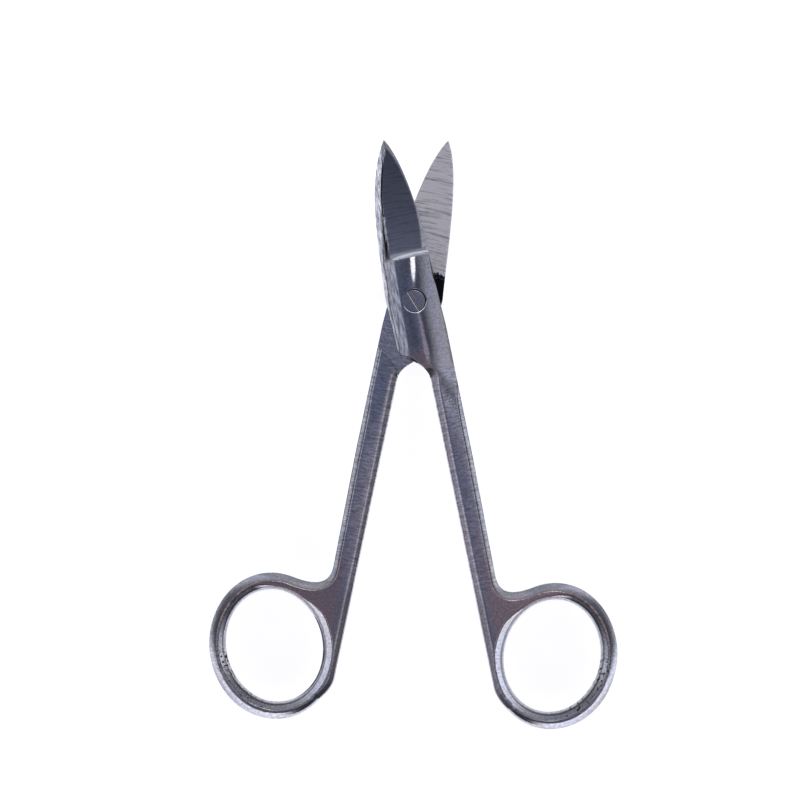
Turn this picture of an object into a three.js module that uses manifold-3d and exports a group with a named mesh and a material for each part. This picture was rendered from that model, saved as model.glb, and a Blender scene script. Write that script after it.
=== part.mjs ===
// Small ring-handled snips for fine thread work: two forged stainless halves on one slotted screw.
// Millimetres, +Z up, lying flat. +Y points to the tips, the pivot axis is X = Y = 0,
// and the underside of the joint is on Z = 0.
//
// Each half is modelled in its own frame, as it lies when the snips are closed: middle plane on
// Z = 0, outer face up, blade along +Y with its spine at -X, shank and ring at +X. The rear half
// is the same kind of piece turned over about Y, so both are made by the same functions.

import * as THREE from "three";
import { mergeVertices } from "three/addons/utils/BufferGeometryUtils.js";
import Module from "manifold-3d";

const wasm = await Module();
wasm.setup();

// Driving dimensions
const REST_HALF_ANGLE = 11.7; // degrees that each half stands out from the closed position
const PLATE_OUTER = 2.25; // outer face of a joint plate, from the middle plane
const PLATE_INNER = 0.05; // inner face: the halves run 0.1 mm apart
const SHANK_HALF = 1.5; // half the thickness of shank and ring
const SHANK_WIDTH = 5.05;
const HALF_GAP = 0.1; // half the gap between the closed shanks
const STEP_GAP = 0.2; // between a joint plate and the step in the other shank
const SHANK_CHAMFER = 0.8;

// What differs between the halves: the blade's curves and where the finger ring sits
const FRONT = {
  tip: [0.5, 32.2],
  spine: [-4.6, 24.2, -4.6, 12.7],
  edge: [4.9, 19.5, 2.6, 29.2],
  ring: [12.75, -73.55],
};
const REAR = {
  tip: [-0.1, 32.2],
  spine: [-3.8, 26.4, -4.4, 10.3],
  edge: [5.6, 17.8, 1.8, 29.8],
  ring: [13.1, -71.7],
};

// Outline of the joint plate, round from the spine side
const PLATE_LEFT = 5.4; // from the pivot to the widest point of the spine side
const SPINE_ENDS_Y = 1.5;
const PLATE_FOOT = [-5.05, -9];
const PLATE_CORNER = [-4.8, -10];
const LOWER_EDGE_START = [-3.9, -10.6];
const CROTCH_Y = -15.5; // where the plate's lower edge runs into the shank's inner edge
const CROTCH_BULGE = 2.5; // how far above that the plate's rounded lower edge starts to turn
const SHANK_OUTER = HALF_GAP + SHANK_WIDTH;
const SHANK_FULL_Y = -6; // the shank's outer edge turns towards the blade here
const EDGE_STARTS = [4.7, 4]; // the cutting edge's curve starts here
const SHANK_TOP_Y = -9.5; // the shank solid reaches this far into the plate solid
const OVERLAP_Y = -22; // and the plate solid this far into the shank solid

// Side view of the same stretch
const TIP_OUTER = 0.75; // height of the outer face at the tip
const SHOULDER_OUTER = 2.05;
const FULL_HEIGHT_Y = [-9, 3]; // the joint has its full height between these
const SLOPE_FOOT_Y = -20; // and has come down to the shank's height here
const TIP_END_Y = FRONT.tip[1] + 1; // cuts and blanks run this far, past the tip

// Finger ring: two ellipses, the outer one running into the shank
const RING_OUTER = [14.35, 12.55];
const RING_OUTER_TILT = 71;
const RING_HOLE = [11.1, 9.45];
const RING_HOLE_TILT = 66;
const RING_HOLE_SHIFT = [-0.15, 0.1];
const RING_LEAVES_SHANK = 144; // ellipse angles where the outer curve starts and ends, degrees
const RING_MEETS_SHANK = 385;
const INNER_NECK = 3.9; // the shank's inner edge is straight to this far below the ring's centre
const INNER_NECK_ROUND = 2.1; // and turns into the ring over this length
const NECK_TAPER = 0.35; // what the shank loses in width above the ring
const NECK_Y = 17.7; // height above the ring's centre where the shank starts to flare
const NECK_PULL = 13.4; // height that the flare's curve heads for, from both ends
const NECK_PULL_X = 4.6; // how far inboard of the ring's centre it heads
const STRAIGHT_END_Y = -32; // the shank has its full width down to here

// Hollow-ground blade facet: a tilted plane, inside the raised strip along the spine
const SPINE_STRIP = 1.5;
const SHOULDER_Y = 8.5;
const SHOULDER_ROUND = 2.2; // where the strip turns into the shoulder
const FACET_HIGH = 1.35; // height of the facet at the shoulder, beside the spine strip
const FACET_ROLL = -0.118; // rise per mm towards the cutting edge
const FACET_PITCH = -0.0268; // rise per mm towards the tip
const FACET_FILLET = 0.6;
const FACET_LEFT = SPINE_STRIP - PLATE_LEFT + 0.4; // the facet's side at the shoulder
const FACET_TIP = [0.6, 1]; // how far the facet's end lies inside the blade's tip

// Pivot screw
const HEAD_RADIUS = 2.15;
const HEAD_THICK = 0.85;
const HEAD_SUNK = 0.1;
const SHAFT_RADIUS = 1.5;
const THREAD_RADIUS = 1.25;
const RUNNING_GAP = 0.06;
const SEAT_GAP = 0.03;
const RECESS_GAP = 0.12; // around the head
const HEAD_RIM = 0.12; // chamfer of the head's edge
const SLOT = { width: 0.7, depth: 0.45, angle: 31 };

const ROUND = 48; // facets around the screw and its holes
const CURVE = 20; // segments in each curve of an outline
const CLEAR = 6; // longer than anything that a cutter has to pass through
const RAD = Math.PI / 180;

const steel = (color, roughness) =>
  new THREE.MeshStandardMaterial({ color, roughness, metalness: 1, flatShading: true });

// Booleans: a closed three.js geometry as a solid, and back
function solid(geometry) {
  const bare = geometry.clone();
  bare.deleteAttribute("normal");
  bare.deleteAttribute("uv");
  const merged = mergeVertices(bare, 1e-4);
  return new wasm.Manifold(
    new wasm.Mesh({
      numProp: 3,
      vertProperties: merged.attributes.position.array,
      triVerts: new Uint32Array(merged.index.array),
    }),
  );
}

function geometryOf(body) {
  const { vertProperties, triVerts } = body.getMesh();
  const geometry = new THREE.BufferGeometry();
  geometry.setAttribute("position", new THREE.BufferAttribute(vertProperties, 3));
  geometry.setIndex(new THREE.BufferAttribute(triVerts, 1));
  return geometry;
}

// A solid of revolution about Z from [radius, z] points, first and last on the axis
function turned(points) {
  const profile = points.map(([radius, z]) => new THREE.Vector2(radius, z));
  return solid(new THREE.LatheGeometry(profile, ROUND).rotateX(Math.PI / 2));
}

function ellipsePoint([x, y], [rx, ry], tilt, angle) {
  const along = rx * Math.cos(angle * RAD);
  const across = ry * Math.sin(angle * RAD);
  const c = Math.cos(tilt * RAD);
  const s = Math.sin(tilt * RAD);
  return [x + along * c - across * s, y + along * s + across * c];
}

// Blade, joint plate and the first stretch of the shank, seen from the outer face
function plateShape({ tip, spine, edge }) {
  const shape = new THREE.Shape();
  shape.moveTo(...tip);
  shape.bezierCurveTo(...spine, -PLATE_LEFT, SPINE_ENDS_Y);
  shape.lineTo(...PLATE_FOOT);
  shape.quadraticCurveTo(...PLATE_CORNER, ...LOWER_EDGE_START);
  shape.quadraticCurveTo(HALF_GAP, CROTCH_Y + CROTCH_BULGE, HALF_GAP, CROTCH_Y);
  shape.lineTo(HALF_GAP, OVERLAP_Y);
  shape.lineTo(SHANK_OUTER, OVERLAP_Y);
  shape.lineTo(SHANK_OUTER, SHANK_FULL_Y);
  shape.lineTo(...EDGE_STARTS);
  shape.bezierCurveTo(...edge, ...tip);
  return shape;
}

// Side view of the same stretch: thin at the tip, full at the joint, sloping down to the shank
function plateProfile() {
  const outline = [
    [OVERLAP_Y - 1, PLATE_INNER],
    [TIP_END_Y, PLATE_INNER],
    [TIP_END_Y, TIP_OUTER],
    [SHOULDER_Y, SHOULDER_OUTER],
    [FULL_HEIGHT_Y[1], PLATE_OUTER],
    [FULL_HEIGHT_Y[0], PLATE_OUTER],
    [SLOPE_FOOT_Y, SHANK_HALF],
    [OVERLAP_Y - 1, SHANK_HALF],
  ];
  return new THREE.Shape(outline.map(([y, z]) => new THREE.Vector2(y, z)));
}

// Shank and ring. The shank's upper end is inside the joint plate.
function handleShape({ ring }) {
  const [cx, cy] = ring;
  const leave = ellipsePoint(ring, RING_OUTER, RING_OUTER_TILT, RING_LEAVES_SHANK);
  const shape = new THREE.Shape();
  shape.moveTo(HALF_GAP, SHANK_TOP_Y);
  shape.lineTo(HALF_GAP, cy - INNER_NECK);
  shape.quadraticCurveTo(2 * HALF_GAP, cy - INNER_NECK - INNER_NECK_ROUND, ...leave);
  shape.absellipse(
    cx,
    cy,
    ...RING_OUTER,
    RING_LEAVES_SHANK * RAD,
    RING_MEETS_SHANK * RAD,
    false,
    RING_OUTER_TILT * RAD,
  );
  const neck = SHANK_OUTER - NECK_TAPER;
  const pull = cy + NECK_PULL;
  shape.bezierCurveTo(cx - NECK_PULL_X, pull, neck, pull, neck, cy + NECK_Y);
  shape.lineTo(SHANK_OUTER, STRAIGHT_END_Y);
  shape.lineTo(SHANK_OUTER, SHANK_TOP_Y);
  const hole = new THREE.Path();
  hole.absellipse(
    cx + RING_HOLE_SHIFT[0],
    cy + RING_HOLE_SHIFT[1],
    ...RING_HOLE,
    0,
    2 * Math.PI,
    false,
    RING_HOLE_TILT * RAD,
  );
  shape.holes.push(hole);
  return shape;
}

function handle(half) {
  const depth = 2 * (SHANK_HALF - SHANK_CHAMFER);
  const geometry = new THREE.ExtrudeGeometry(handleShape(half), {
    depth,
    curveSegments: CURVE,
    bevelSize: SHANK_CHAMFER,
    bevelThickness: SHANK_CHAMFER,
    bevelOffset: -SHANK_CHAMFER,
    bevelSegments: 2,
  });
  return solid(geometry.translate(0, 0, -depth / 2));
}

// The plan outline, kept inside the side profile
function bladePlate(half) {
  const plan = new THREE.ExtrudeGeometry(plateShape(half), {
    depth: CLEAR,
    curveSegments: CURVE,
    bevelEnabled: false,
  });
  const side = new THREE.ExtrudeGeometry(plateProfile(), {
    depth: 4 * CLEAR,
    bevelEnabled: false,
  });
  // the profile's own axes are y, z and then the depth, x
  side.rotateX(Math.PI / 2).rotateZ(Math.PI / 2).translate(-2 * CLEAR, 0, 0);
  return solid(plan).intersect(solid(side));
}

// What grinding takes off the outer face of the blade, up to the shoulder
function facetCutter({ tip, spine }) {
  const [bellyX, bellyY] = spine;
  const endX = tip[0] + FACET_TIP[0];
  const shape = new THREE.Shape();
  shape.moveTo(endX, tip[1] - FACET_TIP[1]);
  shape.bezierCurveTo(
    bellyX + SPINE_STRIP,
    bellyY - FACET_TIP[0],
    FACET_LEFT,
    SHOULDER_Y + 3 * SHOULDER_ROUND,
    FACET_LEFT,
    SHOULDER_Y + SHOULDER_ROUND,
  );
  shape.quadraticCurveTo(FACET_LEFT, SHOULDER_Y, FACET_LEFT + SHOULDER_ROUND, SHOULDER_Y);
  shape.lineTo(2 * CLEAR, SHOULDER_Y);
  shape.lineTo(2 * CLEAR, TIP_END_Y + 1);
  shape.lineTo(endX, TIP_END_Y + 1);
  const geometry = new THREE.ExtrudeGeometry(shape, {
    depth: CLEAR,
    curveSegments: CURVE,
    bevelSize: FACET_FILLET,
    bevelThickness: FACET_FILLET,
    bevelOffset: -FACET_FILLET,
    bevelSegments: 3,
  });
  const fromCorner = FACET_ROLL * (SPINE_STRIP - PLATE_LEFT) + FACET_PITCH * SHOULDER_Y;
  const lowest = FACET_HIGH + FACET_FILLET - fromCorner;
  const slope = new THREE.Matrix4().set(
    1, 0, 0, 0,
    0, 1, 0, 0,
    FACET_ROLL, FACET_PITCH, 1, lowest,
    0, 0, 0, 1,
  );
  return solid(geometry.applyMatrix4(slope));
}

// The space below the middle plane that the other half's plate crosses. Its lower edge cuts the
// step in the shank, along the other plate's lower edge and a gap further out.
function crossingCutter() {
  const [cornerX, cornerY] = PLATE_CORNER;
  const crotch = CROTCH_Y - STEP_GAP;
  const corner = cornerY - STEP_GAP;
  const shape = new THREE.Shape();
  shape.moveTo(-2 * CLEAR, crotch);
  shape.lineTo(-HALF_GAP, crotch);
  shape.quadraticCurveTo(-HALF_GAP, crotch + CROTCH_BULGE, -cornerX, corner);
  shape.lineTo(2 * CLEAR, corner);
  shape.lineTo(2 * CLEAR, TIP_END_Y);
  shape.lineTo(-2 * CLEAR, TIP_END_Y);
  const space = new THREE.ExtrudeGeometry(shape, {
    depth: CLEAR,
    curveSegments: CURVE,
    bevelEnabled: false,
  });
  return solid(space.translate(0, 0, PLATE_INNER - CLEAR));
}

function forging(half) {
  const blank = handle(half).add(bladePlate(half));
  return blank.subtract(crossingCutter()).subtract(facetCutter(half));
}

// Front half: clearance hole for the screw's shaft, and a recess for its head
function frontHalf() {
  const seat = PLATE_OUTER - HEAD_SUNK - HEAD_THICK - SEAT_GAP;
  const hole = turned([
    [0, -CLEAR],
    [SHAFT_RADIUS + RUNNING_GAP, -CLEAR],
    [SHAFT_RADIUS + RUNNING_GAP, seat],
    [HEAD_RADIUS + RECESS_GAP, seat],
    [HEAD_RADIUS + RECESS_GAP, CLEAR],
    [0, CLEAR],
  ]);
  return forging(FRONT).subtract(hole);
}

// Rear half: the hole that the screw's end is fixed in
function rearHalf() {
  const hole = turned([
    [0, -CLEAR],
    [THREAD_RADIUS + SEAT_GAP, -CLEAR],
    [THREAD_RADIUS + SEAT_GAP, CLEAR],
    [0, CLEAR],
  ]);
  return forging(REAR).subtract(hole);
}

// Slotted cheese head, bearing shaft through the front half, and a thinner end in the rear half
function pivotScrew() {
  const top = PLATE_OUTER - HEAD_SUNK;
  const shoulder = SEAT_GAP - PLATE_INNER;
  const screw = turned([
    [0, -PLATE_OUTER],
    [THREAD_RADIUS, -PLATE_OUTER],
    [THREAD_RADIUS, shoulder],
    [SHAFT_RADIUS, shoulder],
    [SHAFT_RADIUS, top - HEAD_THICK],
    [HEAD_RADIUS, top - HEAD_THICK],
    [HEAD_RADIUS, top - HEAD_RIM],
    [HEAD_RADIUS - HEAD_RIM, top],
    [0, top],
  ]);
  const slot = new THREE.BoxGeometry(SLOT.width, CLEAR, 2 * SLOT.depth);
  slot.rotateZ(SLOT.angle * RAD).translate(0, 0, top);
  return screw.subtract(solid(slot));
}

function mesh(name, body, material) {
  const piece = new THREE.Mesh(geometryOf(body), material);
  piece.name = name;
  return piece;
}

// A half opened from the closed position: degrees about Z, positive towards -X at the tip
function opened(piece, degrees) {
  const turn = new THREE.Group();
  turn.rotation.z = degrees * RAD;
  turn.add(piece);
  return turn;
}

const front = mesh("front_half", frontHalf(), steel(0x8b8e96, 0.32));
const rear = mesh("rear_half", rearHalf(), steel(0x85888f, 0.36));
const screw = mesh("pivot_screw", pivotScrew(), steel(0x74777d, 0.3));
rear.rotation.y = Math.PI;

const snips = new THREE.Group();
snips.add(opened(front, REST_HALF_ANGLE), opened(rear, -REST_HALF_ANGLE), screw);
snips.position.z = PLATE_OUTER;

export default snips;
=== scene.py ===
"""Ring-handled thread snips: the finished surfaces of the two forged halves and their screw.

Lengths are millimetres until a mesh is made, and metres after that. Each half is built in its
own frame, as in the CAD: middle plane on z = 0, outer face up, blade along +y with its spine at
-x, shank and ring at +x. Its outer face is a height over the plan outline, and so is its inner
side, so that the ground facets, crowns, bevels and steps are all real shapes.
"""
import math
import bpy
import numpy as np
from mathutils import Matrix, Vector
from mathutils.geometry import delaunay_2d_cdt
from mathutils.kdtree import KDTree


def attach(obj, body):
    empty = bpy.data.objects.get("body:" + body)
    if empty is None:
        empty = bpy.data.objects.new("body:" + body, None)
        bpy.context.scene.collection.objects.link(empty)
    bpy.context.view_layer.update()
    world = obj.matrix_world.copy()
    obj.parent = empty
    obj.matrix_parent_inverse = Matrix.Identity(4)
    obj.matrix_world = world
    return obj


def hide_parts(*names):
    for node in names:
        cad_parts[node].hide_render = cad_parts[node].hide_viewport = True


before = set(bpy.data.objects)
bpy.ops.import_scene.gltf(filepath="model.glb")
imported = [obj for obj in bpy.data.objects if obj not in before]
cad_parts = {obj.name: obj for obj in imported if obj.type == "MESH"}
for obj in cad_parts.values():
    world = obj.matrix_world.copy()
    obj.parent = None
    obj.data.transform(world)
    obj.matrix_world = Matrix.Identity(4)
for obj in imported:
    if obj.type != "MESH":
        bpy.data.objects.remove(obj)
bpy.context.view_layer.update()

MM = 0.001

# Driving sizes, as in the CAD
REST_HALF_ANGLE = 11.7  # degrees that each half stands out from the closed position
PLATE_OUTER = 2.25  # outer face of a joint plate, from the middle plane
PLATE_INNER = 0.05
SHANK_HALF = 1.5  # half the thickness of shank and ring
HALF_GAP = 0.1  # half the gap between the closed shanks
SHANK_OUTER = HALF_GAP + 5.05
STEP_GAP = 0.2

# What differs between the halves: the blade's curves, the ring's place and the screw's hole
FRONT = {
    "tip": (0.5, 32.2),
    "spine": ((-4.6, 24.2), (-4.6, 12.7)),
    "edge": ((4.9, 19.5), (2.6, 29.2)),
    "ring": (12.75, -73.55),
    "bore": 2.28,
    "bore_centre": (0.08, 0.02),
}
REAR = {
    "tip": (-0.1, 32.2),
    "spine": ((-3.8, 26.4), (-4.4, 10.3)),
    "edge": ((5.6, 17.8), (1.8, 29.8)),
    "ring": (13.1, -71.7),
    "bore": 1.28,
    "bore_centre": (0, 0),
}

# Plan outline of joint plate, shank and finger ring
PLATE_LEFT = (-5.4, 1.5)
PLATE_FOOT = (-5.05, -9)
PLATE_CORNER = (-4.8, -10)
LOWER_EDGE_START = (-3.9, -10.6)
CROTCH_Y = -15.5
CROTCH_BULGE = 2.5
SHANK_FULL_Y = -6
EDGE_STARTS = (4.7, 4)
RING_OUTER = (14.35, 12.55, 71)  # both radii, and the tilt in degrees
RING_HOLE = (11.1, 9.45, 66)
RING_HOLE_SHIFT = (-0.15, 0.1)
RING_LEAVES_SHANK = 144  # ellipse angles where the outer curve starts and ends
RING_MEETS_SHANK = 385
INNER_NECK = (3.9, 6)  # below the ring's centre: where the inner edge starts to turn, and its bend
NECK_TAPER = 0.35  # how much narrower the shank has become at the ring
NECK_Y = 17.7  # above the ring's centre: its outer edge flares from here
NECK_PULL = (4.6, 13.4)  # left of and above the ring's centre: what the flare heads for
STRAIGHT_END_Y = -32

# Heights of the outer face
CROWN_X = -0.35  # middle line of the joint's crown, at the screw
CROWN_BENDS_Y = 1  # ahead of this the crown leans and falls towards the shoulder
CROWN_LEAN = 0.15  # how far it moves outboard per mm
CROWN_RADIUS = 14.2
CROWN_LEFT_RADIUS = 24
CROWN_LENGTH_RADIUS = 90
CROWN_REACH = 6  # to each side of its middle line
SHANK_CROWN_X = 3.6
SHANK_CROWN_RADIUS = 60
JOINT_CLIMB_Y = (-20, -8)  # the face climbs from the shank's height to the joint's
CROWNS_MEET_Y = (-32, -13)  # the shank's crown turns into the joint's
RING_FLAT = (12, 20)  # above the ring's centre: up to here flat, from here crowned
SHOULDER_Y = 8.5  # the hollow-ground facet ends here
SHOULDER_X = (-4.2, 5.5)
FILLET = 1.4  # length of the shoulder's fillet
FILLET_RISE = 0.3  # at least
RIDGE_X = -2.633  # the ridge left of the crown, at the pivot
RIDGE_LEAN = 0.033
RIDGE_FOOT_Y = -15
LEFT_FACET_SLOPE = 0.262
LEFT_FACET_RUN_OUT = 0.35  # how fast it climbs out of the way beyond the shoulder
SPINE_SLOPE = 0.72

# Lowest line of the ground strip and chamfer on the spine's side, from the crotch to the tip
SPINE_LOW_Y = (-15.5, -12, -10.6, -8, 0, 8, 12, 14, 24, 32.2)
SPINE_LOW = (1.7, 1.85, 1.6, 1.34, 1.18, 0.84, 0.7, 0.62, 0.55, 0.3)
STRIP_WIDTH_Y = (SHOULDER_Y, 12, 18, 26, 32)
STRIP_WIDTH = (1.0, 1.1, 1.35, 1.1, 0.5)

# The wall between that strip and the hollow facet: a slope that narrows, then a steep foot
WALL_WIDTH_Y = (SHOULDER_Y, 14, 18)
WALL_WIDTH = (0.9, 0.5, 0)
WALL_SLOPE = 0.55
WALL_FOOT_SLOPE = 3.0

# The hollow facet: its height at a point near its spine side, and how that changes
FACET_HEIGHT = 1.06
FACET_AT_X = -3.5
FACET_FALL_ACROSS = 0.103
FACET_FALL_ALONG = 0.014
FACET_HOLLOW = 0.02
FACET_MIDDLE_X = 0.5
FACET_HALF_WIDTH = 4
FACET_CURVES_Y = 20  # behind this it curves up to the shoulder
FACET_CURVE = 0.0018
THINNEST = 0.12  # height of the hollow facet at the least

# Lowest line of the outboard side, from the shank to the tip
EDGE_LOW_Y = (-20, -5, SHOULDER_Y, SHOULDER_Y + FILLET, 24)
EDGE_LOW = (0.8, 1.42, 1.42, 0.14, 0.08)
EDGE_SLOPE = 0.34  # of the cutting edge's bevel
JOINT_BEVEL_SLOPE = 0.55  # of the joint's outboard bevel
JOINT_BEVEL_Y = (-20, -5)

# Outboard bevel of ring and shank, at these places above the ring's centre and, as the last
# value of each, where the ring leaves the shank
BEVEL_PLACES = (-14, -7, 0, 8, 13, 17)
BEVEL_LOW = (0.4, 0.5, 0.55, 0.5, 0.42, 0.8), 0.45
BEVEL_RISE = (0.1, 0.09, 0.07, 0.07, 0.08, 0.15), 0.48  # from there to the wider bevel's plane
BEVEL_SLOPE = (0.71, 0.62, 0.53, 0.52, 0.69, 0.5), 0.45
BEVEL_RIM_SLOPE = (0.86, 0.75, 0.64, 0.64, 0.76, 0.65), 2.2
RING_LEAVES_TURN = (222, 262)  # degrees about the ring's centre where the last value fades out

# Bevel round the finger hole, by degrees about the ring's centre
HOLE_TURN = (0, 25, 60, 80, 110, 135, 180, 225, 270, 330, 360)
HOLE_SLOPE = (0.70, 0.6, 0.56, 0.8, 0.8, 0.74, 0.78, 0.74, 0.58, 0.76, 0.70)
HOLE_WIDTH = (1.65, 1.6, 1.5, 0.75, 0.8, 1.8, 1.95, 1.8, 1.5, 1.7, 1.65)
HOLE_RIM_DROP = 0.3
HOLE_RIM_SLOPE = 2.0
HOLE_LINE = 0.55  # a dark line of painted shade runs this far from the hole's edge

# Shank's edge towards the other shank: foot and slope of its rim and of its bevel
INNER_RIM = (0.72, 2.2)
INNER_BEVEL = (0.93, 0.42)

# Inner side, and wear round the bore
RIM_SLOPE = 0.55  # of the tiny bevel round the inner face of the blade
RIM_WIDTH = 0.2
STEP_WIDTH = 0.15  # of the step from the inner face up to the shank
BORE_WEAR = (0.015, 0.06)  # depth and width
SEAT_GROOVE = (0.25, 0.3)  # depth and width of a groove round the screw's seat: a dark gap
BORE_CHAMFER = 0.06

# Heights over which neighbouring faces are rounded into each other
CREASE_BLEND = 0.03
SPINE_BLEND = 0.04
RIM_BLEND = 0.05
OUTBOARD_BLEND = 0.06
HOLE_BLEND = 0.08
INNER_BLEND = 0.1

# Where the finishes are, and where shade is painted
HOLLOW_WITHIN = 0.02  # height over the hollow facet that still counts as ground
STRIP_REACH = 1.6  # from the spine
LEFT_FACET_FOOT_Y = -14
POLISH_STARTS_Y = (-16, -9)
POLISH_FADE = 0.3  # beside the ridge, and past the shoulder
INNER_FINISH_Y = -2  # the inner face is ground, or painted black as shade beside the other half, ahead of this
PIT_TURN = ((255, 285), (335, 355))  # degrees about the ring's centre: fading in, and out
PIT_REACH = 1.5  # from the finger hole
WARM_PLACES = ((26, 17), (-3, 3))  # above the ring's centre: fading in from above, and from below
WARM_X = (1.6, 4)
WARM_HEIGHT = (-0.3, -0.15)  # from the shank's top
RING_FINISH_ENDS = (10, 18)  # above the ring's centre
# Painted shade: dark lines round the finger hole, in the corner beside the spine's strip, and along
# the step
LINE_HALF_WIDTH = 0.08
CORNER_FADE = 0.12
CORNER_STARTS = (0.02, 0.4)  # past the strip, and past the shoulder
STEP_LINE = (0.05, 0.6)  # how far the painted shade along the step reaches past it, and its strength

# Screw
HEAD_RADIUS = 2.13
HEAD_TOP = PLATE_OUTER - 0.1
HEAD_UNDER = HEAD_TOP - 0.85
SEAT = HEAD_UNDER - 0.03
SHAFT_RADIUS = 1.5
SHAFT_CLEAR = 1.56
THREAD_RADIUS = 1.25
SHAFT_END = -0.02
SLOT_ACROSS = (-0.4, -0.11, 0.0, 0.38)  # a worn slot, with one flank steeper than the other
SLOT_DEPTHS = (0, 0.24, 0.24, 0)
SLOT_ANGLE = 31
HEAD_WEAR = (0.04, 0.08)  # depth and width
HEAD_CHAMFER = 0.04  # of its underside
SHAFT_CHAMFER = 0.05
END_ROUNDING = ((0, 0.14), (0.05, 0.07), (0.2, 0.03))  # how far in from the rim, and up
HEAD_CROWN = 0.003  # how much lower the head is 1 mm from its middle

# Mesh fineness
STEP = 0.2  # along an outline
GRID = 0.22  # between points on a face
CELL = 0.09  # points closer than this are merged, and the grid keeps this far from the rows
FINE = 0.02  # between the points that distances are measured to
RIM_ROWS = (0.08, 0.2, 0.32, 0.44, 0.56)  # rows of points this far inside each outline
HOLE_ROWS = (0.68, 0.8)  # and these round the finger hole too
CREASE_ROWS = (0, -STEP_WIDTH, STEP_WIDTH, 2 * STEP_WIDTH)  # from ridge, shoulder and step
STRIP_ROWS = (-0.1, 0, 0.1, 0.2, 0.3)  # from the inner line of the spine's strip
ROUND_SIDES = 96  # of bore and screw
HEAD_GRID = 0.7 * GRID
HEAD_ROWS = (0.06, 0.12, 0.2)  # rows of points inside the head's rim
SLOT_POINTS = 60  # along each line of the slot
END_CIRCLES = (0.5, 0.1)  # radii of the circles on the screw's flat end
THIN_SKIN = 0.03  # the two faces are at least this far apart
WALL_BULGE = 0.05
SHARP = 38  # degrees between faces from which their edge is a crease


# ---------- plan curves ----------

def resample(curve, step):
    """The same polyline with evenly spaced points."""
    lengths = np.hypot(*np.diff(curve, axis=0).T)
    along = np.concatenate([[0], np.cumsum(lengths)])
    at = np.linspace(0, along[-1], max(2, round(along[-1] / step)) + 1)
    return np.column_stack([np.interp(at, along, curve[:, k]) for k in (0, 1)])


def bezier(*points):
    """Bezier curve of any degree, evenly spaced: two points make a straight line."""
    p = np.array(points, float)
    t = np.linspace(0, 1, 300)[:, None]
    n = len(p) - 1
    curve = sum(math.comb(n, i) * t**i * (1 - t) ** (n - i) * p[i] for i in range(n + 1))
    return resample(curve, STEP)


def ellipse(centre, shape, start=0, end=360):
    """Arc of a tilted ellipse between two of its own angles, in degrees."""
    rx, ry, tilt = shape
    angle = np.radians(np.linspace(start, end, 400))
    turn = math.radians(tilt)
    along, across = rx * np.cos(angle), ry * np.sin(angle)
    x = centre[0] + along * math.cos(turn) - across * math.sin(turn)
    y = centre[1] + along * math.sin(turn) + across * math.cos(turn)
    return resample(np.column_stack([x, y]), STEP)


def chain(*curves):
    """Curves that follow each other as one, with each shared point kept once."""
    return np.vstack([curves[0]] + [curve[1:] for curve in curves[1:]])


def plan(half):
    """The outline in named stretches, counter-clockwise from the tip down the spine, and the hole."""
    tip = half["tip"]
    cx, cy = half["ring"]
    crotch = (HALF_GAP, CROTCH_Y)
    neck = SHANK_OUTER - NECK_TAPER
    pull = cy + NECK_PULL[1]
    ring = ellipse((cx, cy), RING_OUTER, RING_LEAVES_SHANK, RING_MEETS_SHANK)
    inner_end = (HALF_GAP, cy - INNER_NECK[0])
    hole_centre = (cx + RING_HOLE_SHIFT[0], cy + RING_HOLE_SHIFT[1])
    return {
        "spine": bezier(tip, *half["spine"], PLATE_LEFT),
        "plate": chain(
            bezier(PLATE_LEFT, PLATE_FOOT),
            bezier(PLATE_FOOT, PLATE_CORNER, LOWER_EDGE_START),
            bezier(LOWER_EDGE_START, (HALF_GAP, CROTCH_Y + CROTCH_BULGE), crotch),
        ),
        "inner": chain(
            bezier(crotch, inner_end),
            bezier(inner_end, (2 * HALF_GAP, cy - INNER_NECK[1]), ring[0]),
        ),
        "ring": ring,
        "outer": chain(
            bezier(ring[-1], (cx - NECK_PULL[0], pull), (neck, pull), (neck, cy + NECK_Y)),
            bezier((neck, cy + NECK_Y), (SHANK_OUTER, STRAIGHT_END_Y)),
            bezier((SHANK_OUTER, STRAIGHT_END_Y), (SHANK_OUTER, SHANK_FULL_Y)),
            bezier((SHANK_OUTER, SHANK_FULL_Y), EDGE_STARTS),
        ),
        "edge": bezier(EDGE_STARTS, *half["edge"], tip),
        "hole": ellipse(hole_centre, RING_HOLE),
    }


def step_curve():
    """The line on the inner side where the shank's step starts, along the other half's lower edge."""
    corner_x, corner_y = PLATE_CORNER
    low = (-HALF_GAP, CROTCH_Y - STEP_GAP)
    high = (-corner_x, corner_y - STEP_GAP)
    return chain(
        bezier((-9, low[1]), low),
        bezier(low, (low[0], low[1] + CROTCH_BULGE), high),
        bezier(high, (9, high[1])),
    )


def distance(points, *curves):
    """Distance of each point from the nearest of some curves."""
    fine = np.vstack([resample(curve, FINE) for curve in curves])
    tree = KDTree(len(fine))
    for index, (x, y) in enumerate(fine):
        tree.insert((x, y, 0), index)
    tree.balance()
    return np.array([tree.find((x, y, 0))[2] for x, y in points])


def offset(curve, gap):
    """The curve moved to its left, which is the inside of a counter-clockwise outline."""
    ahead = np.gradient(curve, axis=0)
    ahead /= np.hypot(*ahead.T)[:, None]
    gap = np.broadcast_to(gap, len(curve))[:, None]
    return curve + gap * np.column_stack([-ahead[:, 1], ahead[:, 0]])


def inside(points, loops):
    """True for the points inside the first loop and outside the others."""
    odd = np.zeros(len(points), bool)
    x, y = points.T
    for loop in loops:
        for (ax, ay), (bx, by) in zip(loop, np.roll(loop, -1, axis=0)):
            if ay != by:
                crosses = (ay > y) != (by > y)
                odd ^= crosses & (x < ax + (y - ay) * (bx - ax) / (by - ay))
    return odd


# ---------- heights ----------

def smooth_min(a, b, blend):
    """The lower of two heights, rounded where they cross over a height of about blend."""
    t = np.clip(0.5 + 0.5 * (b - a) / blend, 0, 1)
    return b + (a - b) * t - blend * t * (1 - t)


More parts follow.
